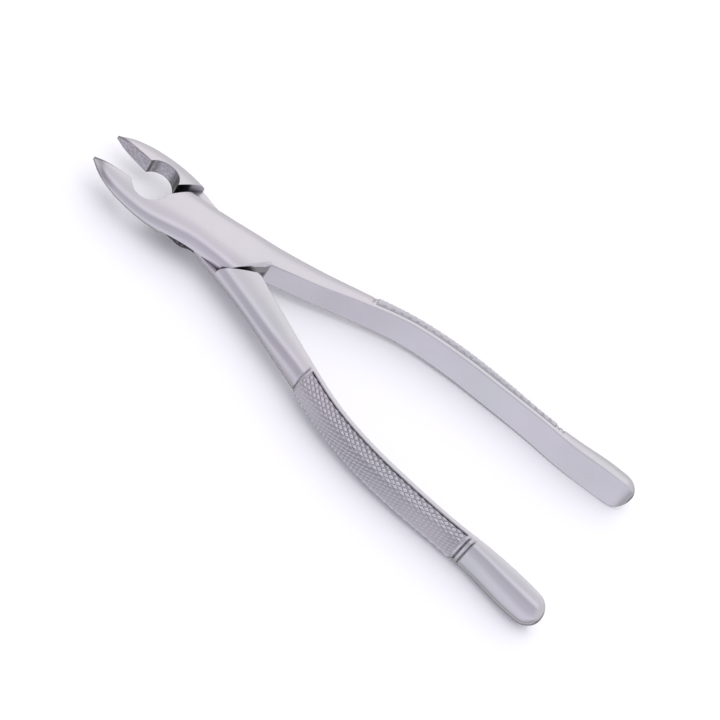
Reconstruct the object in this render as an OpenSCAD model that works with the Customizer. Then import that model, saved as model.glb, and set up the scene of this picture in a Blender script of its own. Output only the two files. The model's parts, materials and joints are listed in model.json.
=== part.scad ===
// Dental extraction forceps: two forged halves that cross in a half-lap joint on one flush pin.
// The halves are drawn closed about the pivot, with the beaks towards +X and the pivot axis
// along Z. Each is then swung open by half the opening angle, and the pair is set down with its
// origin at the bottom centre. The front half has its lap on top and its beak on the +Y side.

/* [Overall] */
// Distance from the pivot to the beak tips
beak_reach = 41.5; // [40:0.5:43]
// Distance from the pivot to the handle ends
handle_reach = 136; // [130:1:142]
// Angle between the two halves as drawn
opening = 15.2; // [0.4:0.4:24]

/* [Joint] */
// Thickness of the two laps together
joint_depth = 8.5; // [8:0.1:9]
// Gap between the two laps' mating faces
lap_gap = 0.1; // [0.06:0.02:0.2]
// Gap at the laps' shoulders with the beaks closed
shoulder_gap = 0.25; // [0.15:0.05:0.4]
// Diameter of the pivot pin's shank
pin_d = 4.5; // [4:0.1:5]
// Diameter of the pin's flush heads
head_d = 6.8; // [6:0.1:7.5]
// Depth of the cone under each head
head_depth = 1.5; // [1:0.1:1.8]
// Radial clearance round the pin in the half that turns on it
pin_clearance = 0.05; // [0.02:0.01:0.1]

/* [Beaks] */
// Depth of the beaks across the eye
beak_depth = 6.6; // [6:0.1:7.2]
// Radius of the eye behind the gripping faces
eye_r = 5.4; // [5:0.1:5.8]
// Distance from the pivot to the centre of the eye
eye_x = 24.3; // [24:0.1:24.8]
// Distance of each eye's centre beyond the closing plane
eye_offset = 0.9; // [0.6:0.1:1.2]
// Gap left at the beak tips when closed
tip_gap = 0.06; // [0.04:0.02:0.2]

/* [Handles] */
// Depth of the handles halfway along the grip
grip_depth = 10.6; // [9.5:0.1:11.5]
// Depth of the flared handle ends
paddle_depth = 12; // [11:0.1:13]
// Distance that the handles are swept down behind the joint
sweep = 2.5; // [0:0.1:4]
// Start of the cross-hatched grip, from the pivot
grip_start = 45.5; // [40:0.5:46]
// End of the cross-hatched grip, from the pivot
grip_end = 106.5; // [98:0.5:110]
// Height of the hatching above the forging
grip_rise = 0.45; // [0:0.05:0.6]

/* [Hidden] */
$fn = 96;
steel = [0.76, 0.75, 0.79];
pin_steel = [0.68, 0.68, 0.71];

half_open = opening / 2;
// Reach of the beaks and handles that the curves below are drawn for
drawn_beak = 41.5;
drawn_handle = 136;
joint_z = joint_depth / 2;
beak_z = beak_depth / 2;
grip_z = grip_depth / 2;
paddle_z = paddle_depth / 2;
bore_r = pin_d / 2;
// Distance from the pivot back to the crotch, where the handles part
crotch_x = 15.6;
// Half the width of the blocks that cut the plan shapes, wider than the forceps
far = 40;
// Steps of the superellipse on each side of a section
side_steps = 10;

// Each curve is a list of [distance along X, value] in closed position.
// Outer edge of the halves, from the closing plane
outer_edge = [
    [-136, 7.4], [-135, 10.2], [-132, 12.8], [-126, 13.8], [-114, 13.6], [-105, 13.9],
    [-87, 16.5], [-73, 17.6], [-58, 16.9], [-41, 13.9], [-30, 12.1], [-17, 10.0], [-7, 8.8],
    [0, 8.1], [7, 7.9], [14, 8.6], [20, 8.9], [27, 8.0], [34, 5.8], [38.5, 3.2], [41.5, 0.6]
];
// Flat inner face of a handle, from the closing plane
inner_edge = [
    [-136, 7.2], [-135, 7.6], [-126, 7.9], [-114, 8.7], [-102, 10.5], [-87, 12.0],
    [-73, 12.9], [-58, 12.2], [-41, 8.0], [-30, 4.6], [-20, 1.8], [-crotch_x, 0.5]
];
// Half of the depth along the pivot axis
half_depth = [
    [-136, 0.3 * paddle_z], [-135, 0.67 * paddle_z], [-132, 0.92 * paddle_z], [-126, paddle_z],
    [-114, 0.95 * paddle_z], [-102, 1.03 * grip_z], [-73, 0.98 * grip_z], [-41, 0.9 * grip_z],
    [-28, joint_z], [-17, 0.97 * joint_z], [-7, joint_z], [0, joint_z], [7, 0.99 * joint_z],
    [14, 0.92 * joint_z], [20, 1.03 * beak_z], [27, 0.9 * beak_z], [34, 0.73 * beak_z],
    [38.5, 0.52 * beak_z], [41.5, 0.16 * beak_z]
];
// Drop of the section's centre, as a share of the sweep
drop = [[-136, 1], [-87, 0.97], [-73, 0.85], [-58, 0.65], [-41, 0.46], [-30, 0.35], [-17, 0.1],
    [-8, 0], [42, 0]];
// Squareness of the section: 2 is an ellipse, more is boxier
squareness = [[-136, 2.4], [-126, 2.8], [-41, 2.8], [-17, 2.6], [0, 3], [14, 2.6], [42, 2.1]];

// The front lap's two end edges, each from the closing plane out to the side of the joint
nose_edge = [[eye_x - eye_r, -eye_offset], [13.4, -8.2]];
crotch_edge = [[-crotch_x, -0.5], [-6.6, 8.6]];
// Rear end of the front half's full thickness behind the beak, cut back further than the
// other half's nose edge needs, so that a notch shows at the side of the joint
shoulder_edge = [[eye_x - eye_r, eye_offset], [14.3, 8.8]];
// Where the gripping face meets the eye, above the closing plane
grip_corner = 0.8;

// Sections along X, closer together at the rounded ends
stations = concat(
    [for (d = [0, 0.4, 1, 2, 3.5, 5.5]) -drawn_handle + d],
    [for (x = [-128 : 3 : -20]) x],
    [for (x = [-18 : 2 : 36]) x],
    [37.5, 39, 40.3, 41.5]
);

function run(c, i) = c[i + 1][0] - c[i][0];
function rise(c, i) = (c[i + 1][1] - c[i][1]) / run(c, i);
// Slope at a control point, weighted by the spans on either side
function slope(c, i) =
    i == 0 ? rise(c, 0) :
    i == len(c) - 1 ? rise(c, i - 1) :
    (rise(c, i - 1) * run(c, i) + rise(c, i) * run(c, i - 1)) / (run(c, i) + run(c, i - 1));
// Cubic through the control points of c, at x
function along(c, x, i = 0) =
    (i < len(c) - 2 && x > c[i + 1][0]) ? along(c, x, i + 1) :
    let (
        t = (x - c[i][0]) / run(c, i),
        a = slope(c, i) * run(c, i),
        b = slope(c, i + 1) * run(c, i)
    )
    c[i][1] * (1 + 2 * t) * pow(1 - t, 2) + a * t * pow(1 - t, 2)
        + c[i + 1][1] * t * t * (3 - 2 * t) + b * t * t * (t - 1);

// A drawn distance carried to the chosen reach
function stretch(x) = x < 0 ? x * handle_reach / drawn_handle : x * beak_reach / drawn_beak;
// 0 outside the hatched grip and 1 inside it, with a short ramp at each end
function on_grip(x) = max(0, min(1, -x - grip_start, grip_end + x));
function outer_at(x) = along(outer_edge, x) + grip_rise * on_grip(x);
// Edge of the flat middle of a section: the inner face on a handle, next to nothing elsewhere
function flat_at(x) = x < -crotch_x ? along(inner_edge, x) : min(0.3, outer_at(x) / 2);
function power(v, n) = sign(v) * pow(abs(v), n);

// One closed section of both halves: a superellipse out to each side of a flat middle
function section(x) =
    let (
        flat = flat_at(x),
        bulge = outer_at(x) - flat,
        half = along(half_depth, x),
        middle = -sweep * along(drop, x),
        n = 2 / along(squareness, x)
    )
    [for (side = [1, -1], i = [0 : side_steps])
        let (t = side * (i * 180 / side_steps - 90))
        [stretch(x), side * (flat + bulge * pow(cos(t), n)), middle + half * power(sin(t), n)]];

// Both halves closed and filled, as one loft
module closed_pair() {
    rings = [for (x = stations) section(x)];
    size = len(rings[0]);
    polyhedron(
        points = [for (ring = rings, p = ring) p],
        faces = concat(
            [[for (i = [size - 1 : -1 : 0]) i]],
            [[for (i = [0 : size - 1]) (len(rings) - 1) * size + i]],
            [for (r = [0 : len(rings) - 2], i = [0 : size - 1])
                let (a = r * size + i, b = r * size + (i + 1) % size)
                each [[a, b, a + size], [b, b + size, a + size]]]
        ),
        convexity = 6
    );
}

// A point carried on past the end of an edge, clear of the forceps' side
function beyond(edge) = edge[1] + (edge[1] - edge[0]) * far / norm(edge[1] - edge[0]);
function flip(edge) = [for (p = edge) [p[0], -p[1]]];
// An edge moved sideways by d, to the left of its own direction
function moved(edge, d) =
    let (along_edge = (edge[1] - edge[0]) / norm(edge[1] - edge[0]))
    [for (p = edge) p + d * [-along_edge[1], along_edge[0]]];

// Plan of the front half with its lap: beak on +Y, lap across the joint, handle on -Y
module half_plan() {
    corner_angle = asin((grip_corner + eye_offset) / eye_r);
    polygon(concat(
        [[far + 20, tip_gap / 2], [beak_reach, tip_gap / 2]],
        [for (a = [corner_angle : (180 - corner_angle) / 16 : 180.1])
            [eye_x + eye_r * cos(a), -eye_offset + eye_r * sin(a)]],
        [nose_edge[1], beyond(nose_edge), [-far, -far - 20], [-handle_reach - 20, -far - 20]],
        [[-handle_reach - 20, -inner_edge[0][1]]],
        [for (x = [-drawn_handle : 4 : -crotch_x]) [stretch(x), -along(inner_edge, x)]],
        [crotch_edge[0], beyond(crotch_edge), [far + 20, far + 20]]
    ));
}

// Plan of the room that the other half's lap needs
module lap_room_plan() {
    nose = moved(shoulder_edge, -shoulder_gap);
    crotch = moved(flip(crotch_edge), -shoulder_gap);
    polygon([
        nose[0], beyond(nose), [crotch[0][0], far / 2],
        crotch[0], beyond(crotch), [nose[0][0], -far / 2]
    ]);
}

// Revolved pin: a shank with a cone and a short flush rim at each end, grown by gap all round
module pin_shape(gap) {
    shank = bore_r + gap;
    head = head_d / 2 + gap;
    neck = joint_z - head_depth;
    rim = joint_z - 0.2;
    top = gap > 0 ? joint_z + 1 : joint_z - 0.04;
    rotate_extrude() polygon([
        [0, -top], [head, -top], [head, -rim], [shank, -neck],
        [shank, neck], [head, rim], [head, top], [0, top]
    ]);
}

// One half in the closed position with its beak on +Y, and its lap on top or underneath
module closed_half(lap_on_top, pin_gap) {
    room_from = lap_on_top ? -far : -lap_gap / 2;
    difference() {
        intersection() {
            closed_pair();
            translate([0, 0, -far / 2]) linear_extrude(far) half_plan();
        }
        translate([0, 0, room_from]) linear_extrude(far + lap_gap / 2) lap_room_plan();
        pin_shape(pin_gap);
    }
}

// Swings a half about the pivot and sets the pair down on its bottom centre
module set_down(angle) {
    tip_x = beak_reach * cos(half_open);
    end_x = -handle_reach * cos(half_open) + outer_edge[0][1] * sin(half_open);
    translate([-(tip_x + end_x) / 2, 0, sweep + paddle_z]) rotate([0, 0, angle]) children();
}

module front_half() {
    color(steel) set_down(half_open) closed_half(true, 0.001);
}

module rear_half() {
    color(steel) set_down(-half_open) mirror([0, 1, 0]) closed_half(false, pin_clearance);
}

module pivot_pin() {
    color(pin_steel) set_down(half_open) pin_shape(0);
}

front_half();
rear_half();
pivot_pin();
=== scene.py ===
"""Dental extraction forceps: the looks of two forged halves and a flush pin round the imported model.

Each half is one mesh. A ring of points is made for every station along the half, in the closed
position with the pivot at the origin, and the rings are joined with the joint's lap and the pin's
bore cut afterwards. Lengths are in millimetres until a mesh is placed in the row frame.
"""

import json
import math

import bmesh
import bpy
import numpy as np
from mathutils import Matrix, Vector


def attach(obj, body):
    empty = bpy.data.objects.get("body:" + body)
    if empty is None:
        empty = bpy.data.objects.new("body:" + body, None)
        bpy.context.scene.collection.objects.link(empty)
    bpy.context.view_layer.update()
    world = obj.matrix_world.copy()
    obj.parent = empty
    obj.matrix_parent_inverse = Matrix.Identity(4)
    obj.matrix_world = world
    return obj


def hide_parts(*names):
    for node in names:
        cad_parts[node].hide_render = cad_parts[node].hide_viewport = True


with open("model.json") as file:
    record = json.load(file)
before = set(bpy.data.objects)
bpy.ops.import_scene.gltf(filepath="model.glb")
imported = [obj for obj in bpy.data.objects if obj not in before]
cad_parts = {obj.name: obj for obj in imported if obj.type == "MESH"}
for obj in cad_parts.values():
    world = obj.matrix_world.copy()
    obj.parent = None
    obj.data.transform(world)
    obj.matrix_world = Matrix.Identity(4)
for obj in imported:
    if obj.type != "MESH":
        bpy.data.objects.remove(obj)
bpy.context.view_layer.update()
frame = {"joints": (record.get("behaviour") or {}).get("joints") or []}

# ---- Driving sizes, the same as the CAD model's, in millimetres and degrees
MM = 0.001
BEAK_REACH = 41.5
HANDLE_REACH = 136.0
HALF_OPEN = math.radians(15.2 / 2)
JOINT_Z = 8.5 / 2
BEAK_Z = 6.6 / 2
GRIP_Z = 10.6 / 2
PADDLE_Z = 12.0 / 2
SWEEP = 2.5
LAP_GAP = 0.1
SHOULDER_GAP = 0.25
BORE_R = 4.5 / 2
HEAD_R = 6.8 / 2
HEAD_DEPTH = 1.5
EYE_R = 5.4
EYE_X = 24.3
EYE_OFFSET = 0.9
TIP_GAP = 0.06
GRIP_CORNER = 0.8
CROTCH_X = 15.6
NOSE_EDGE = [(EYE_X - EYE_R, -EYE_OFFSET), (13.4, -8.2)]
SHOULDER_EDGE = [(EYE_X - EYE_R, EYE_OFFSET), (14.3, 8.8)]
CROTCH_EDGE = [(-CROTCH_X, -0.5), (-6.6, 8.6)]
FAR = 40.0

# Curves of [distance along X, value], in closed position
OUTER_EDGE = [
    (-136, 13.0), (-132, 13.5), (-126, 13.8), (-114, 13.6), (-105, 13.9),
    (-87, 16.5), (-73, 17.6), (-58, 16.9), (-41, 13.9), (-30, 12.1), (-17, 10.0), (-7, 8.8),
    (0, 8.1), (7, 7.9), (14, 8.6), (20, 8.9), (27, 8.0), (34, 5.8), (38.5, 3.2), (41.5, 0.6),
]
INNER_EDGE = [
    (-136, 7.8), (-132, 7.7), (-126, 7.9), (-114, 8.7), (-102, 10.5), (-87, 12.0),
    (-73, 12.9), (-58, 12.2), (-41, 8.0), (-30, 4.6), (-20, 1.8), (-CROTCH_X, 0.5),
]
HALF_DEPTH = [
    (-136, 0.93 * PADDLE_Z), (-126, PADDLE_Z),
    (-114, 0.95 * PADDLE_Z), (-102, 1.03 * GRIP_Z), (-73, 0.98 * GRIP_Z), (-41, 0.9 * GRIP_Z),
    (-28, JOINT_Z), (-17, 0.97 * JOINT_Z), (-7, JOINT_Z), (0, JOINT_Z), (7, 0.99 * JOINT_Z),
    (14, 0.92 * JOINT_Z), (20, 1.03 * BEAK_Z), (27, 0.9 * BEAK_Z), (34, 0.73 * BEAK_Z),
    (38.5, 0.52 * BEAK_Z), (41.5, 0.16 * BEAK_Z),
]
DROP = [
    (-136, 1), (-87, 0.97), (-73, 0.85), (-58, 0.65), (-41, 0.46), (-30, 0.35), (-17, 0.1),
    (-8, 0), (42, 0),
]
CAD_END_Y = 7.4  # the CAD handle's end, from the closing plane, which its place depends on
END_LENGTH = 4.8  # of the rounding at a handle's end
END_POWER = 2.1  # a little squarer than an ellipse
END_MIDDLE = 9.8  # centre of the rounding, from the closing plane
SQUARENESS = [(-136, 2.4), (-126, 2.8), (-41, 2.8), (-17, 2.6), (0, 3), (14, 2.6), (42, 2.1)]

# ---- Mesh density and surface detail, in millimetres unless said otherwise
ARC_STEPS = 50  # steps over each of a section's upper and lower surfaces
CORNER_STEPS = 4  # steps round a corner
WALL_STEPS = 5  # steps down half of a flat wall
CORNER_R = 0.32  # radius along the handles' inner faces and the beaks' gripping faces
DIAMOND = 8  # mesh steps along and across one diamond of the grip
DIAMOND_ROWS = 24  # diamonds from end to end of the grip
GRIP_FROM = -106.8
GRIP_TO = -45.6
GRIP_MARGIN = 8  # mesh steps of smooth border beside the grip
DIAMOND_TOP = 0.42
DIAMOND_DEPTH = 0.36
BORDER_STEPS = 3  # mesh steps from the middle of that border's groove to its edge
BORDER_DEPTH = 0.3  # of the groove along each side of the grip
PIN_SEAM = 0.003  # gap round the pin where it is fast, in the front half
PIN_RUNNING_GAP = 0.05  # and where it turns, in the rear half
PIN_HEAD_RIM = 0.35  # straight part of a head above its cone
PIN_BELOW_FRONT = 0.001  # how far the heads lie below the laps' surfaces
PIN_BELOW_BACK = 0.04
PIN_HEAD_RINGS = 6
SHARP_DEGREES = 28  # an edge that turns by more than this is shaded sharp
FACET = 1.1  # size of the ground flat at the crotch
FACET_START = -7.5
FACET_STOP = -CROTCH_X - 0.25
FACET_FADE = 1.3
REAR_LAP_FLARE = 1.6  # how far the rear half's lap stands out on its nose side
FLARE_X = 9.0
FLARE_REACH = 4.5
RING_GROOVES = [  # place along the handle, half width, depth
    (GRIP_FROM - 0.9, 0.28, 0.34), (GRIP_FROM - 2.4, 0.28, 0.3), (GRIP_TO + 0.9, 0.3, 0.22),
]
# Painted shade, from 0 to 1: low in the hatching, in the grooves, on the mating faces near the joint
# and on the jaws' inner faces
PAINTED_SHADE_HATCH = 0.24  # how dark the painted shade is, from 0 to 1, low in the hatching
PAINTED_SHADE_GROOVE = 0.75
PAINTED_SHADE_MATING = 0.4
PAINTED_SHADE_JAW = 0.42
PAINTED_SHADE_FRONT_SHARE = 0.5  # of the rear grip's painted shade that the front grip has


def curve(points, x):
    """Cubic through the points at x, an array, with each point's slope weighted by its spans."""
    xs, ys = np.array(points, float).T
    run = np.diff(xs)
    rise = np.diff(ys) / run
    slope = np.empty_like(xs)
    slope[0], slope[-1] = rise[0], rise[-1]
    slope[1:-1] = (rise[:-1] * run[1:] + rise[1:] * run[:-1]) / (run[1:] + run[:-1])
    i = np.clip(np.searchsorted(xs, x) - 1, 0, len(xs) - 2)
    t = (x - xs[i]) / run[i]
    a, b = slope[i] * run[i], slope[i + 1] * run[i]
    return (
        ys[i] * (1 + 2 * t) * (1 - t) ** 2
        + a * t * (1 - t) ** 2
        + ys[i + 1] * t * t * (3 - 2 * t)
        + b * t * t * (t - 1)
    )


def end_round(x):
    """Share of its full size that a handle's rounded end has at x."""
    gone = np.clip((x + HANDLE_REACH) / END_LENGTH, 0, 1)
    return float((1 - (1 - gone) ** END_POWER) ** (1 / END_POWER))


class Section:
    """The superellipse section of the closed pair at distance x from the pivot. The lap's side
    behind its nose edge may stand out further than the other side, by flare."""

    def __init__(self, x, flare=0.0):
        self.x = x
        self.flare = flare * math.exp(-(((x - FLARE_X) / FLARE_REACH) ** 4))
        whole = end_round(x)
        self.inner = END_MIDDLE + (float(curve(INNER_EDGE, x)) - END_MIDDLE) * whole
        self.outer = END_MIDDLE + (float(curve(OUTER_EDGE, x)) - END_MIDDLE) * whole
        self.flat = self.inner if x < -CROTCH_X else min(0.3, self.outer / 2)
        self.half = float(curve(HALF_DEPTH, x)) * whole
        self.middle = -SWEEP * float(curve(DROP, x))
        self.power = float(curve(SQUARENESS, x))

    def reach(self, side):
        """How far the section goes out on that side, and how square it is there."""
        extra = self.flare if side < 0 else 0.0
        return self.outer + extra, self.power + 1.5 * extra

    def height(self, y):
        """Height of the surface above the section's middle at y."""
        outer, power = self.reach(y)
        q = np.clip((abs(y) - self.flat) / (outer - self.flat), 0, 1)
        return self.half * (1 - q**power) ** (1 / power)

    def side(self, side):
        """Points from the outermost edge up to the flat middle, as y and height."""
        outer, power = self.reach(side)
        t = (np.linspace(0, 1, 160) ** 1.5) * math.pi / 2
        y = self.flat + (outer - self.flat) * np.cos(t) ** (2 / power)
        return np.column_stack([side * y, self.half * np.sin(t) ** (2 / power)])


def line_y(edge, x):
    (x0, y0), (x1, y1) = edge
    return y0 + (x - x0) * (y1 - y0) / (x1 - x0)


def high_side(s):
    """Where the front half stops towards +Y: its handle's inner face, then its lap's crotch edge."""
    if s.x <= -CROTCH_X:
        return -s.inner
    return min(line_y(CROTCH_EDGE, s.x), s.outer)


def low_side(s):
    """Where the front half stops towards -Y: its lap's nose edge, the eye, the gripping face."""
    eye_start = EYE_X - EYE_R
    corner = EYE_X + math.sqrt(EYE_R**2 - (GRIP_CORNER + EYE_OFFSET) ** 2)
    if s.x < eye_start:
        return max(line_y(NOSE_EDGE, s.x), -s.outer - s.flare)
    if s.x < corner:
        return -EYE_OFFSET + math.sqrt(max(0, EYE_R**2 - (s.x - EYE_X) ** 2))
    return line_y([(corner, GRIP_CORNER), (BEAK_REACH, TIP_GAP / 2)], s.x)


def spread(points, steps):
    """The same path in equal steps along its length."""
    reach = np.concatenate([[0], np.cumsum(np.hypot(*np.diff(points, axis=0).T))])
    at = np.linspace(0, reach[-1], steps + 1)
    return np.column_stack([np.interp(at, reach, points[:, k]) for k in (0, 1)])


def facet(s):
    """Size of the flat ground along the lap's crotch edge, which widens towards the crotch."""
    if not FACET_STOP < s.x < FACET_START:
        return 0.0
    full = (FACET_START - s.x) / (FACET_START + CROTCH_X)
    return FACET * min(1.0, full, (s.x - FACET_STOP) / FACET_FADE)


def corner(s, wall, inward):
    """From the middle of a wall up and round its corner to the upper surface, as y and height."""
    top = float(s.height(wall))
    r = min(CORNER_R, 0.4 * top, 0.5 * max(0.0, s.reach(wall)[0] - abs(wall)))
    flat = facet(s) if inward < 0 else 0.0
    flat = min(flat, 0.8 * max(0.0, s.reach(wall)[0] - abs(wall)))
    inset, fall = r + flat * 1.25, r + flat * 0.7
    foot = np.array([wall, max(0.0, top - fall)])
    end = np.array([wall + inward * inset, float(s.height(wall + inward * inset))])
    peak = np.array([wall, top])
    peak = peak + (0.5 * (foot + end) - peak) * min(0.8, flat)
    t = np.linspace(0, 1, CORNER_STEPS + 1)[:, None]
    bend = foot * (1 - t) ** 2 + 2 * peak * t * (1 - t) + end * t**2
    first = min(0.15, foot[1] / 2)
    heights = np.append(np.linspace(0, foot[1] - first, WALL_STEPS), foot[1])
    wall_up = np.column_stack([np.full(WALL_STEPS + 1, wall), heights])
    return np.vstack([wall_up[:-1], bend])


def upper_path(s):
    """The upper half of the front half's ring: up the +Y wall, over the surface, down to -Y."""
    high, low = high_side(s), low_side(s)
    up = corner(s, high, -1)
    down = corner(s, low, 1)
    over = np.vstack([s.side(1), s.side(-1)[::-1]])
    between = (over[:, 0] < up[-1, 0]) & (over[:, 0] > down[-1, 0])
    over = np.vstack([up[-1], over[between], down[-1]])
    return np.vstack([up[:-1], spread(over, ARC_STEPS), down[::-1][1:]])


def side_meets(edge, side):
    """Distance from the pivot at which a lap's end edge runs out at the side of the joint."""
    low, high = -CROTCH_X, EYE_X - EYE_R
    for _ in range(50):
        x = (low + high) / 2
        inside = side * line_y(edge, x) < curve(OUTER_EDGE, x)
        low, high = (x, high) if inside == (side > 0) else (low, x)
    return x


def stations():
    """Distances from the pivot of the rings, and which of them lie on the grip."""
    end = [-HANDLE_REACH + 8 * (i / 30) ** 2.4 for i in range(1, 30)]
    paddle = np.arange(-128, -111, 0.5)
    grooves = np.arange(-111, GRIP_FROM - 0.1, 0.16)
    grip = np.linspace(GRIP_FROM, GRIP_TO, DIAMOND * DIAMOND_ROWS + 1)
    shank = np.concatenate([GRIP_TO + np.arange(1, 12) * 0.16, np.arange(GRIP_TO + 2.2, -17, 0.5)])
    joint = np.arange(-16.9, EYE_X - EYE_R - 0.2, 0.33)
    corners = [-CROTCH_X, side_meets(CROTCH_EDGE, 1), side_meets(NOSE_EDGE, -1)]
    near = 0.3 * np.linspace(0.1, 1, 7) ** 3
    for at in corners:
        joint = joint[abs(joint - at) > 0.34]
        joint = np.concatenate([joint, [at], at - near, at + near])
    joint = np.sort(joint)
    eye_end = math.asin((GRIP_CORNER + EYE_OFFSET) / EYE_R)
    eye = EYE_X + EYE_R * np.cos(np.linspace(math.pi, eye_end, 52))
    beak = np.arange(eye[-1] + 0.35, BEAK_REACH - 1.6, 0.35)
    tip = BEAK_REACH - 1.6 * (1 - np.linspace(0, 1, 10)) ** 1.5
    x = np.concatenate([end, paddle, grooves, grip, shank, joint, eye, beak, tip])
    first = len(end) + len(paddle) + len(grooves)
    return x, first, first + len(grip) - 1


def groove(x, centre, width, depth):
    """A rounded groove across the handle at centre, as a height."""
    return -depth * np.exp(-(((x - centre) / width) ** 2))


def grip_height(step, across):
    """Height of the hatched grip above the forging, at a mesh step along and across it."""
    inside = across - GRIP_MARGIN
    width = 2 * ARC_STEPS - 2 * GRIP_MARGIN
    edge = min(inside, width - inside)
    if edge <= -BORDER_STEPS:
        return 0.0
    if edge < BORDER_STEPS:
        return -BORDER_DEPTH * (1 - abs(edge) / BORDER_STEPS)
    one = (step + inside) % DIAMOND
    two = (step - inside) % DIAMOND
    near = min(one, DIAMOND - one, two, DIAMOND - two, 3)
    return DIAMOND_TOP - DIAMOND_DEPTH * (1 - near / 3)


def outer_detail(x, first, last):
    """Height to add to the outer face of the handle, for each station and step across it."""
    steps = 2 * ARC_STEPS + 1
    made = np.zeros((len(x), steps))
    for i in range(first, last + 1):
        for j in range(steps):
            made[i, j] = grip_height(i - first, j)
    made[first, :] = 0
    made[last, :] = 0
    lines = sum(groove(x, *ring) for ring in RING_GROOVES)
    fade = np.clip((np.arange(steps) - 5) / 6, 0, 1)
    fade = fade * fade[::-1]
    return made + lines[:, None] * fade[None, :]


def grid_normals(points):
    """Unit normals of a grid of points, pointing away from the handle's core."""
    along = np.gradient(points, axis=0)
    across = np.gradient(points, axis=1)
    n = np.cross(across, along)
    n /= np.linalg.norm(n, axis=2)[:, :, None]
    core = points.mean(axis=1, keepdims=True)
    flip = np.sign(((points - core) * n).sum(axis=2))
    return n * flip[:, :, None]


def half_mesh(name, side):
    """The closed mesh of one half with its whole joint still uncut. side is 1 for the front half
    and -1 for the rear half, which is its mirror image in Y."""
    x, first, last = stations()
    sections = [Section(v, REAR_LAP_FLARE if side < 0 else 0.0) for v in x]
    upper = np.array([upper_path(s) for s in sections])
    lower = upper[:, ::-1] * (1, -1)
    ring = np.concatenate([upper, lower[:, 1:-1]], axis=1)
    middle = np.array([s.middle for s in sections])
    points = np.empty(ring.shape[:2] + (3,))
    points[:, :, 0] = x[:, None]
    points[:, :, 1] = ring[:, :, 0]
    points[:, :, 2] = ring[:, :, 1] + middle[:, None]

    start = WALL_STEPS + CORNER_STEPS
    turn = upper.shape[1] - 1
    top_face = np.arange(start, start + ARC_STEPS + 1)
    low_face = np.arange(2 * turn - start - ARC_STEPS, 2 * turn - start + 1)
    face = np.concatenate([top_face, low_face[1:]])
    handle = x < -20  # all the grip and its grooves
    patch = points[handle][:, face]
    height = outer_detail(x, first, last)[handle]
    patch = patch + grid_normals(patch) * height[:, :, None]
    rows = np.nonzero(handle)[0]
    points[rows[:, None], face[None, :]] = patch
    between = np.arange(start + ARC_STEPS, 2 * turn - start - ARC_STEPS + 1)
    points[rows[:, None], between[None, :]] = patch[:, ARC_STEPS][:, None, :]
    points[:, :, 1] *= side

    n_rings, n_ring = points.shape[:2]
    faces = []
    step_of = {int(v): k for k, v in enumerate(face)}
    for i in range(n_rings - 1):
        for j in range(n_ring):
            a, b = i * n_ring + j, i * n_ring + (j + 1) % n_ring
            quad = [a, b, b + n_ring, a + n_ring]
            if first <= i < last and j in step_of:
                inside = step_of[j] - GRIP_MARGIN
                one = (i - first + inside + 1) % DIAMOND
                two = (i - first - inside) % DIAMOND
                if min(one, DIAMOND - one) <= min(two, DIAMOND - two):
                    faces += [[b, b + n_ring, a + n_ring], [a, b, a + n_ring]]
                else:
                    faces += [[a, b, b + n_ring], [a, b + n_ring, a + n_ring]]
            else:
                faces.append(quad)
    faces.append(list(range(n_ring))[::-1])
    faces.append([(n_rings - 1) * n_ring + k for k in range(n_ring)])
    mesh = bpy.data.meshes.new(name)
    mesh.from_pydata([tuple(p) for p in points.reshape(-1, 3)], [], faces)
    # Painted shade, kept as a point attribute: darker low in the hatching and in the grooves, and
    # half as dark on the front half
    painted_shade = np.zeros(points.shape[:2])
    sunk = np.clip((DIAMOND_TOP - height) / (DIAMOND_TOP + BORDER_DEPTH), 0, 1)
    on_grip = np.zeros_like(height)
    low_edge, high_edge = GRIP_MARGIN - 1, 2 * ARC_STEPS - GRIP_MARGIN + 1
    on_grip[first : last + 1, low_edge : high_edge + 1] = 1
    sunk = PAINTED_SHADE_HATCH * sunk * on_grip + np.clip(-height * 2.5, 0, PAINTED_SHADE_GROOVE)
    sunk *= 1 if side < 0 else PAINTED_SHADE_FRONT_SHARE
    painted_shade[rows[:, None], face[None, :]] = sunk
    mesh.attributes.new("painted_shade", "FLOAT", "POINT")
    mesh.attributes["painted_shade"].data.foreach_set("value", painted_shade.astype(np.float32).ravel())
    bm = bmesh.new()
    bm.from_mesh(mesh)
    bmesh.ops.remove_doubles(bm, verts=bm.verts, dist=0.0005)
    bmesh.ops.dissolve_degenerate(bm, edges=bm.edges, dist=0.0005)
    bmesh.ops.recalc_face_normals(bm, faces=bm.faces)
    bm.to_mesh(mesh)
    bm.free()
    return new_object(name, mesh)


def new_object(name, mesh):
    obj = bpy.data.objects.new(name, mesh)
    bpy.context.scene.collection.objects.link(obj)
    return obj


def shape(name, verts, faces):
    mesh = bpy.data.meshes.new(name)
    mesh.from_pydata([tuple(map(float, v)) for v in verts], [], faces)
    bm = bmesh.new()
    bm.from_mesh(mesh)
    bmesh.ops.recalc_face_normals(bm, faces=bm.faces)
    bm.to_mesh(mesh)
    bm.free()
    return new_object(name, mesh)


def prism(name, plan, low, high):
    n = len(plan)
    verts = [(x, y, low) for x, y in plan] + [(x, y, high) for x, y in plan]
    faces = [list(range(n))[::-1], list(range(n, 2 * n))]
    faces += [[k, (k + 1) % n, n + (k + 1) % n, n + k] for k in range(n)]
    return shape(name, verts, faces)


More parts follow.
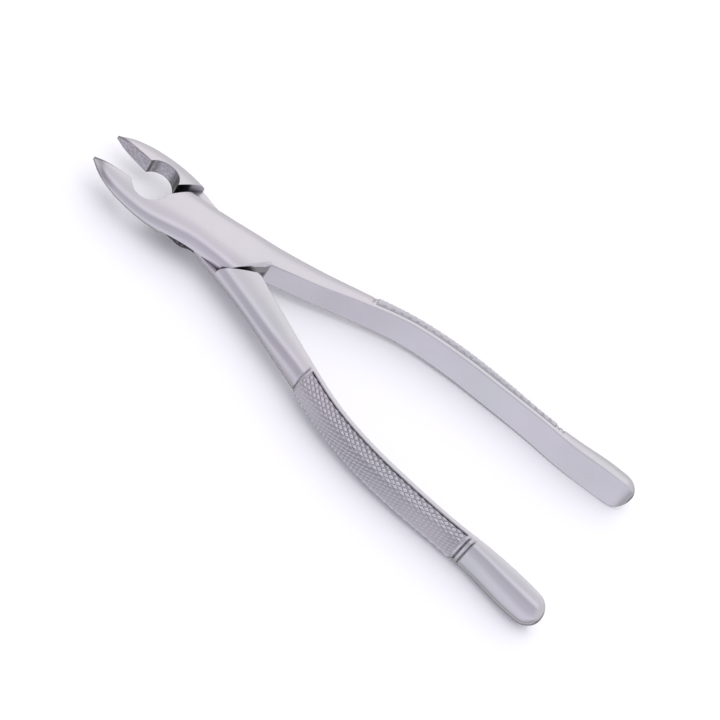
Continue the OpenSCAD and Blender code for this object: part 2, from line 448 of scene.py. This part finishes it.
def revolved(name, profile, segments=96):
    """A closed solid turned round Z from (radius, height) points, first and last on the axis."""
    verts, faces = [(0, 0, profile[0][1]), (0, 0, profile[-1][1])], []
    body = profile[1:-1]
    for r, z in body:
        for k in range(segments):
            a = 2 * math.pi * k / segments
            verts.append((r * math.cos(a), r * math.sin(a), z))
    for k in range(segments):
        m = (k + 1) % segments
        faces.append([0, 2 + m, 2 + k])
        for row in range(len(body) - 1):
            a, b = 2 + row * segments + k, 2 + row * segments + m
            faces.append([a, b, b + segments, a + segments])
        last = 2 + (len(body) - 1) * segments
        faces.append([1, last + k, last + m])
    return shape(name, verts, faces)


def cut(obj, cutter):
    """Removes the cutter's room from obj, and then the cutter."""
    step = obj.modifiers.new("cut", "BOOLEAN")
    step.operation = "DIFFERENCE"
    step.solver = "EXACT"
    step.object = cutter
    bpy.context.view_layer.update()
    made = bpy.data.meshes.new_from_object(
        obj.evaluated_get(bpy.context.evaluated_depsgraph_get())
    )
    obj.modifiers.clear()
    obj.data = made
    bpy.data.objects.remove(cutter)


def beyond(edge):
    (x0, y0), (x1, y1) = edge
    far = FAR / math.hypot(x1 - x0, y1 - y0)
    return x1 + (x1 - x0) * far, y1 + (y1 - y0) * far


def moved(edge, d):
    (x0, y0), (x1, y1) = edge
    size = math.hypot(x1 - x0, y1 - y0)
    dx, dy = -(y1 - y0) * d / size, (x1 - x0) * d / size
    return [(x + dx, y + dy) for x, y in edge]


def lap_room(side):
    """Plan of the room that the other half's lap needs."""
    nose = moved(SHOULDER_EDGE, -SHOULDER_GAP)
    crotch = moved([(x, -y) for x, y in CROTCH_EDGE], -SHOULDER_GAP)
    plan = [
        nose[0], beyond(nose), (crotch[0][0], FAR / 2),
        crotch[0], beyond(crotch), (nose[0][0], -FAR / 2),
    ]
    return [(x, side * y) for x, y in plan]


def pin_profile(gap, past):
    """The pin's half profile from bottom to top, grown by gap and carried past each end."""
    shank, head = BORE_R + gap, HEAD_R + gap
    neck, rim, top = JOINT_Z - HEAD_DEPTH, JOINT_Z - PIN_HEAD_RIM, JOINT_Z + past
    outline = [(head, -top), (head, -rim), (shank, -neck), (shank, neck), (head, rim), (head, top)]
    return [(0, -top), *outline, (0, top)]


def paint_joint_shade(obj, side):
    """Paints shade where the halves meet: darkens the mating faces near the joint and the jaws' inner
    faces, and paints the side of the rear half's lap, which lies in the front half's recess, fully
    dark."""
    mesh = obj.data
    co = np.empty(len(mesh.vertices) * 3, np.float32)
    mesh.vertices.foreach_get("co", co)
    x, y, z = co.reshape(-1, 3).T
    painted_shade = np.zeros(len(x), np.float32)
    mesh.attributes["painted_shade"].data.foreach_get("value", painted_shade)
    # Painted shade on the mating faces near the joint and on the jaws' inner faces
    painted_shade[(abs(z) < 0.07) & (abs(y) < 6) & (x > -CROTCH_X - 3) & (x < EYE_X - 3)] = PAINTED_SHADE_MATING
    eye = np.hypot(x - EYE_X, side * y + EYE_OFFSET)
    inner = (x > EYE_X - EYE_R) & ((abs(eye - EYE_R) < 0.02) | (side * y < GRIP_CORNER))
    painted_shade[inner] = PAINTED_SHADE_JAW
    if side < 0:
        # Painted shadow: the rear lap's side under the front lap is painted fully dark
        inside = (z < -0.02) & (y > 5.2) & (x > 2.2) & (x < 15.0)
        painted_shade[inside] = 1.0
    mesh.attributes["painted_shade"].data.foreach_set("value", painted_shade)


def place(obj, angle):
    """Swings a closed-position mesh about the pivot and sets it down in the assembly's frame."""
    tip_x = BEAK_REACH * math.cos(HALF_OPEN)
    end_x = -HANDLE_REACH * math.cos(HALF_OPEN) + CAD_END_Y * math.sin(HALF_OPEN)
    shift = Vector((-(tip_x + end_x) / 2, 0, SWEEP + PADDLE_Z))
    to_row = Matrix.Scale(MM, 4) @ Matrix.Translation(shift) @ Matrix.Rotation(angle, 4, "Z")
    obj.data.transform(to_row)
    obj.data.update()


def finish_mesh(obj):
    """Cleans the cut mesh and shades it smooth between its sharp edges."""
    bm = bmesh.new()
    bm.from_mesh(obj.data)
    bmesh.ops.dissolve_degenerate(bm, edges=bm.edges, dist=1e-6 / MM)
    bmesh.ops.recalc_face_normals(bm, faces=bm.faces)
    bm.to_mesh(obj.data)
    bm.free()
    obj.data.shade_smooth()
    obj.data.set_sharp_from_angle(angle=math.radians(SHARP_DEGREES))


# ---- The camera, looking at the joint from the side of the rear half's handle
pivot = Vector(frame["joints"][0]["pos_m"])
TILT = math.radians(41)  # between the line of sight and the pivot's axis
SWING = math.radians(5)  # of the line of sight towards the beaks
ROLL = math.radians(40)  # of the closing plane below the picture's level
DISTANCE = 0.7
LENS = 126.6
AIM_RIGHT = 0.0390  # the picture's centre, seen from the pivot
AIM_DOWN = 0.0326
SIGHT = Vector((
    -math.sin(TILT) * math.sin(SWING), math.sin(TILT) * math.cos(SWING), math.cos(TILT)
))
along = (Vector((-1, 0, 0)) - SIGHT * Vector((-1, 0, 0)).dot(SIGHT)).normalized()
across = SIGHT.cross(along)
if across.y < 0:
    across = -across
right = along * math.cos(ROLL) - across * math.sin(ROLL)
up = -along * math.sin(ROLL) - across * math.cos(ROLL)
camera = bpy.data.cameras.new("camera")
camera.sensor_width = 36
camera.lens = LENS
camera.clip_start = 0.05
camera.clip_end = 20
eye = bpy.data.objects.new("camera", camera)
bpy.context.scene.collection.objects.link(eye)
turn = Matrix((right, up, SIGHT)).transposed()
aim = pivot + right * AIM_RIGHT - up * AIM_DOWN
eye.matrix_world = Matrix.Translation(aim + SIGHT * DISTANCE) @ turn.to_4x4()
bpy.context.scene.camera = eye

# ---- Materials
def node(tree, kind, **values):
    made = tree.nodes.new(kind)
    for key, value in values.items():
        if key in made.inputs:
            made.inputs[key].default_value = value
        else:
            setattr(made, key, value)
    return made


def remap(tree, low, high, to_low, to_high):
    """A node that carries the range low to high over to the range to_low to to_high."""
    made = node(tree, "ShaderNodeMapRange")
    for socket, value in (
        ("From Min", low), ("From Max", high), ("To Min", to_low), ("To Max", to_high),
    ):
        made.inputs[socket].default_value = value
    return made


def steel(name, colour, roughness):
    """Satin stainless steel: a fine grain along the half, soft patches of polish and faint tint,
    painted shade from ambient occlusion in crevices and near the floor, and painted shade wherever
    the mesh's point attribute marks it."""
    mat = bpy.data.materials.new(name)
    mat.use_nodes = True
    tree = mat.node_tree
    link = tree.links.new
    shader = tree.nodes["Principled BSDF"]
    shader.inputs["Metallic"].default_value = 1.0
    place_of = node(tree, "ShaderNodeTexCoord")
    stretch = node(tree, "ShaderNodeMapping")
    stretch.inputs["Scale"].default_value = (60, 900, 900)
    link(place_of.outputs["Object"], stretch.inputs["Vector"])
    grain = node(tree, "ShaderNodeTexNoise", Scale=6.0, Detail=3.0, Roughness=0.6)
    link(stretch.outputs["Vector"], grain.inputs["Vector"])
    patches = node(tree, "ShaderNodeTexNoise", Scale=70.0, Detail=4.0, Roughness=0.55)
    link(place_of.outputs["Object"], patches.inputs["Vector"])
    tint = node(tree, "ShaderNodeTexNoise", Scale=38.0, Detail=2.0, Roughness=0.5)
    link(place_of.outputs["Object"], tint.inputs["Vector"])
    shade = node(tree, "ShaderNodeValToRGB")
    low, high = shade.color_ramp.elements
    low.position, high.position = 0.35, 0.68
    low.color = (colour[0] * 0.95, colour[1] * 0.96, colour[2] * 0.97, 1)
    high.color = (colour[0] * 1.04, colour[1] * 1.0, colour[2] * 1.04, 1)
    link(tint.outputs["Fac"], shade.inputs["Fac"])
    # Painted shade: ambient occlusion within 4 mm, the floor included, darkens the colour in crevices
    # and near the floor
    hidden = node(tree, "ShaderNodeAmbientOcclusion", samples=12, only_local=False)
    hidden.inputs["Distance"].default_value = 0.004
    ao_shade_ramp = node(tree, "ShaderNodeValToRGB")
    dark, open_air = ao_shade_ramp.color_ramp.elements
    dark.position, open_air.position = 0.22, 0.62
    dark.color = (0.03, 0.03, 0.035, 1)
    open_air.color = (1, 1, 1, 1)
    link(hidden.outputs["AO"], ao_shade_ramp.inputs["Fac"])
    ao_darkened = node(tree, "ShaderNodeMix", data_type="RGBA", blend_type="MULTIPLY")
    ao_darkened.inputs["Factor"].default_value = 1.0
    link(shade.outputs["Color"], ao_darkened.inputs["A"])
    link(ao_shade_ramp.outputs["Color"], ao_darkened.inputs["B"])
    # Painted shade from the mesh's point attribute, made uneven by a fine noise, darkens the colour
    # further
    painted_shade_input = node(tree, "ShaderNodeAttribute", attribute_name="painted_shade")
    painted_shade_mix = node(tree, "ShaderNodeMix", data_type="RGBA")
    painted_shade_mix.inputs["B"].default_value = (0.035, 0.034, 0.038, 1)
    mottle = node(tree, "ShaderNodeTexNoise", Scale=1400.0)
    link(place_of.outputs["Object"], mottle.inputs["Vector"])
    uneven = node(tree, "ShaderNodeMath", operation="MULTIPLY_ADD")
    uneven.inputs[1].default_value = 1.6
    uneven.inputs[2].default_value = 0.2
    link(mottle.outputs["Fac"], uneven.inputs[0])
    patchy = node(tree, "ShaderNodeMath", operation="MULTIPLY")
    patchy.use_clamp = True
    link(painted_shade_input.outputs["Fac"], patchy.inputs[0])
    link(uneven.outputs["Value"], patchy.inputs[1])
    link(patchy.outputs["Value"], painted_shade_mix.inputs["Factor"])
    link(ao_darkened.outputs["Result"], painted_shade_mix.inputs["A"])
    link(painted_shade_mix.outputs["Result"], shader.inputs["Base Color"])
    rough = remap(tree, 0.3, 0.7, roughness - 0.04, roughness + 0.06)
    link(patches.outputs["Fac"], rough.inputs["Value"])
    link(rough.outputs["Result"], shader.inputs["Roughness"])
    bump = node(tree, "ShaderNodeBump", Strength=0.06, Distance=0.00004)
    link(grain.outputs["Fac"], bump.inputs["Height"])
    link(bump.outputs["Normal"], shader.inputs["Normal"])
    return mat


STEEL_COLOUR = (0.55, 0.545, 0.565)
STEEL_ROUGHNESS = 0.24
forged = steel("forged_steel", STEEL_COLOUR, STEEL_ROUGHNESS)
pinned = steel("pin_steel", STEEL_COLOUR, STEEL_ROUGHNESS)

# ---- The two halves
for name, side, cad_node, body in (
    ("front_half_forging", 1, "front_half", "front"),
    ("rear_half_forging", -1, "rear_half", "rear"),
):
    obj = half_mesh(name, side)
    if side > 0:
        room = prism("room", lap_room(1), -FAR, LAP_GAP / 2)
        bore_gap = PIN_SEAM
    else:
        room = prism("room", lap_room(-1), -LAP_GAP / 2, FAR)
        bore_gap = PIN_RUNNING_GAP
    cut(obj, room)
    cut(obj, revolved("bore", pin_profile(bore_gap, 2)))
    paint_joint_shade(obj, side)
    finish_mesh(obj)
    place(obj, side * HALF_OPEN)
    obj.data.materials.clear()
    obj.data.materials.append(forged)
    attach(obj, body)
    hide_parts(cad_node)

# ---- The pin, with heads that follow the laps' surfaces
profile = pin_profile(0, 0)
caps = [(HEAD_R * k / PIN_HEAD_RINGS, JOINT_Z) for k in range(PIN_HEAD_RINGS, 0, -1)]
outline = [(0, -JOINT_Z)]
outline += [(r, -z) for r, z in caps[::-1]]
outline += profile[2:-2]
outline += caps
outline += [(0, JOINT_Z)]
pin = revolved("pivot_pin_flush", outline)
for v in pin.data.vertices:
    if abs(v.co.z) > JOINT_Z - 0.01:
        s = Section(v.co.x)
        surface = float(s.height(v.co.y))
        in_front = v.co.z > 0
        v.co.z = s.middle + (surface - PIN_BELOW_FRONT if in_front else PIN_BELOW_BACK - surface)
finish_mesh(pin)
place(pin, HALF_OPEN)
pin.data.materials.append(pinned)
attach(pin, "front")
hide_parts("pivot_pin")

# ---- Floor, backdrop and soft studio light
floor_mesh = bpy.data.meshes.new("floor")
HALF_FLOOR = 3.0
floor_mesh.from_pydata(
    [(sx * HALF_FLOOR, sy * HALF_FLOOR, 0) for sx, sy in ((-1, -1), (1, -1), (1, 1), (-1, 1))],
    [],
    [[0, 1, 2, 3]],
)
floor = new_object("floor", floor_mesh)
floor_mat = bpy.data.materials.new("floor")
floor_mat.use_nodes = True
floor_shader = floor_mat.node_tree.nodes["Principled BSDF"]
floor_shader.inputs["Base Color"].default_value = (0.9, 0.895, 0.925, 1)
floor_shader.inputs["Roughness"].default_value = 0.9
floor.data.materials.append(floor_mat)


def softbox(name, place_at, size, power):
    """An oblong lamp that faces the middle of the floor."""
    lamp = bpy.data.lights.new(name, "AREA")
    lamp.shape = "RECTANGLE"
    lamp.size, lamp.size_y = size
    lamp.energy = power
    obj = bpy.data.objects.new(name, lamp)
    bpy.context.scene.collection.objects.link(obj)
    obj.location = place_at
    toward = -Vector(place_at)
    obj.rotation_mode = "QUATERNION"
    obj.rotation_quaternion = toward.to_track_quat("-Z", "Y")
    return obj


softbox("back_box", (0.1, -0.9, 0.8), (1.4, 0.7), 0.6)
overhead = softbox("overhead", (-0.1, 0.1, 1.3), (1.3, 1.3), 5.2)
overhead.visible_glossy = False  # it lights the floor only, and the steel keeps its even tone

# The room round the forceps, as bands by the angle about the X axis: from straight down, up past
# the horizon behind at a quarter to straight up at a half, and down again past the horizon on the
# camera's side. Each band has its place, brightness and lilac tint.
ROOM = [
    (0.0, 0.20, 0.0), (0.105, 0.34, 0.0), (0.25, 0.95, 0.0), (0.396, 1.10, 0.0),
    (0.468, 1.0, 0.02), (0.532, 1.25, 0.02), (0.605, 0.76, 0.06), (0.75, 0.84, 0.05),
    (0.895, 1.1, 0.05), (0.94, 0.45, 0.03),
]
world = bpy.data.worlds.new("studio")
bpy.context.scene.world = world
world.use_nodes = True
tree = world.node_tree
sky = tree.nodes["Background"]
facing = node(tree, "ShaderNodeTexCoord")
parts = node(tree, "ShaderNodeSeparateXYZ")
angle = node(tree, "ShaderNodeMath", operation="ARCTAN2")
share = remap(tree, -math.pi, math.pi, 0.0, 1.0)
bands = node(tree, "ShaderNodeValToRGB")
bands.color_ramp.interpolation = "EASE"
stops = bands.color_ramp.elements  # it starts with a stop at 0 and a white one at 1, which stays
for at, value, lilac in ROOM:
    stop = stops[0] if at == 0 else stops.new(at)
    stop.color = (value * (1 - lilac / 2), value * (1 - lilac / 2 - 0.01), value * (1 + lilac), 1)
tree.links.new(facing.outputs["Generated"], parts.inputs[0])
tree.links.new(parts.outputs["Y"], angle.inputs[0])
tree.links.new(parts.outputs["Z"], angle.inputs[1])
tree.links.new(angle.outputs["Value"], share.inputs["Value"])
tree.links.new(share.outputs["Result"], bands.inputs["Fac"])
# It is dimmer past the beaks.
ahead = remap(tree, 0.5, 0.7, 1.0, 0.5)
dim = node(tree, "ShaderNodeVectorMath", operation="SCALE")
tree.links.new(parts.outputs["X"], ahead.inputs["Value"])
tree.links.new(bands.outputs["Color"], dim.inputs[0])
tree.links.new(ahead.outputs["Result"], dim.inputs["Scale"])
# The bands would meet in a point at either end of the X axis, so a plain pale wall stands there.
aside = node(tree, "ShaderNodeMath", operation="ABSOLUTE")
wall = remap(tree, 0.72, 0.92, 0.0, 1.0)
plain = node(tree, "ShaderNodeMix", data_type="RGBA")
plain.inputs["B"].default_value = (0.95, 0.945, 0.97, 1)
tree.links.new(parts.outputs["X"], aside.inputs[0])
tree.links.new(aside.outputs["Value"], wall.inputs["Value"])
tree.links.new(wall.outputs["Result"], plain.inputs["Factor"])
tree.links.new(dim.outputs["Vector"], plain.inputs["A"])
tree.links.new(plain.outputs["Result"], sky.inputs["Color"])
sky.inputs["Strength"].default_value = 1.0
floor.visible_glossy = False  # the steel reflects the room's bands below it instead
floor.visible_shadow = False  # and is lit from below by them
bpy.context.scene.view_settings.view_transform = "Standard"
